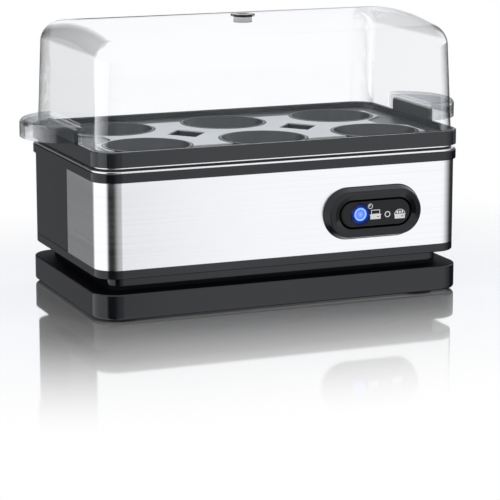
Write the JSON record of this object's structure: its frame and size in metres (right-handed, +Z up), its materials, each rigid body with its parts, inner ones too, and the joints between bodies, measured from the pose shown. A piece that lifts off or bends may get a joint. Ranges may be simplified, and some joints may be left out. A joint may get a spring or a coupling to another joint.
{
  "type": "electric egg cooker",
  "caption": "Low egg cooker with a steel-banded housing, rocker switch, heated water pan, lift-out egg rack with steam holes, and a clear domed lid with D-shaped end handles.",
  "frame": {"origin": "on the table, under the middle of the object", "axes": "+Z is up, +X runs along the length towards the control's end, and the control faces -Y"},
  "size_m": [0.2284, 0.12, 0.1365],
  "materials": {
    "black_plastic": "gloss moulded",
    "cover_plastic": "fine grain",
    "rack_plastic": "gloss moulded",
    "inlay_grey": "satin print film",
    "clear_lid": "clear moulded",
    "band_steel": "brushed along the length",
    "pan_steel": "pressed, polished flange",
    "trim_chrome": "polished",
    "foot_rubber": "moulded",
    "gasket_silicone": "moulded",
    "gland_rubber": "moulded",
    "screw_steel": "zinc plated",
    "heater_steel": "heat darkened",
    "plate_aluminium": "as cast",
    "terminal_brass": "turned",
    "natural_plastic": "natural polyamide",
    "thermostat_phenolic": "moulded phenolic",
    "fuse_metal": "drawn can",
    "lead_blue": "insulated wire",
    "lead_green": "insulated wire",
    "lead_brown": "insulated wire",
    "lead_white": "glass sleeve",
    "switch_plastic": "moulded",
    "board_green": "solder mask",
    "led_clear": "clear cast",
    "light_ring_blue": "lit ring",
    "light_lens_violet": "lit lens"
  },
  "bodies": {
    "housing_body": {"base_tray": "black_plastic", "bottom_cover": "cover_plastic", "rubber_feet": "foot_rubber", "base_screws": "screw_steel", "neck": "black_plastic", "lower_ring": "black_plastic", "housing_shell": "black_plastic", "rear_panel": "black_plastic", "steel_band": "band_steel", "upper_ring": "black_plastic", "water_pan": "pan_steel", "pan_gasket": "gasket_silicone", "trim_ring": "trim_chrome", "heat_plate": "plate_aluminium", "plate_nuts": "screw_steel", "heating_element": "heater_steel", "thermostat": "thermostat_phenolic", "thermostat_screws": "screw_steel", "thermal_fuse": "fuse_metal", "fuse_clip": "screw_steel", "terminal_block": "natural_plastic", "terminal_screws": "terminal_brass", "neutral_lead": "lead_blue", "earth_lead": "lead_green", "live_lead": "lead_brown", "thermostat_lead": "lead_white", "fuse_leads": "lead_white", "cord_gland": "gland_rubber", "switch_bezel": "black_plastic", "rocker_pin": "screw_steel", "switch_body": "switch_plastic", "indicator_led": "led_clear", "control_board": "board_green", "buzzer": "switch_plastic"},
    "rack_body": {"egg_rack": "rack_plastic", "rack_inlay": "inlay_grey"},
    "lid_body": {"lid": "clear_lid", "steam_vent": "black_plastic"},
    "rocker_body": {"rocker": "black_plastic", "light_ring": "light_ring_blue", "light_lens": "light_lens_violet"}
  },
  "joints": [
    {"name": "rack_lift", "type": "slide", "parent": "housing_body", "child": "rack_body", "axis": [0, 0, 1], "range_m": [0, 0.06]},
    {"name": "lid_lift", "type": "slide", "parent": "rack_body", "child": "lid_body", "axis": [0, 0, 1], "range_m": [0, 0.08]},
    {"name": "rocker_tilt", "type": "hinge", "parent": "housing_body", "child": "rocker_body", "pos_m": [0.0455, -0.0528, 0.0436], "axis": [0, 0, 1], "range_deg": [-5, 5]}
  ]
}
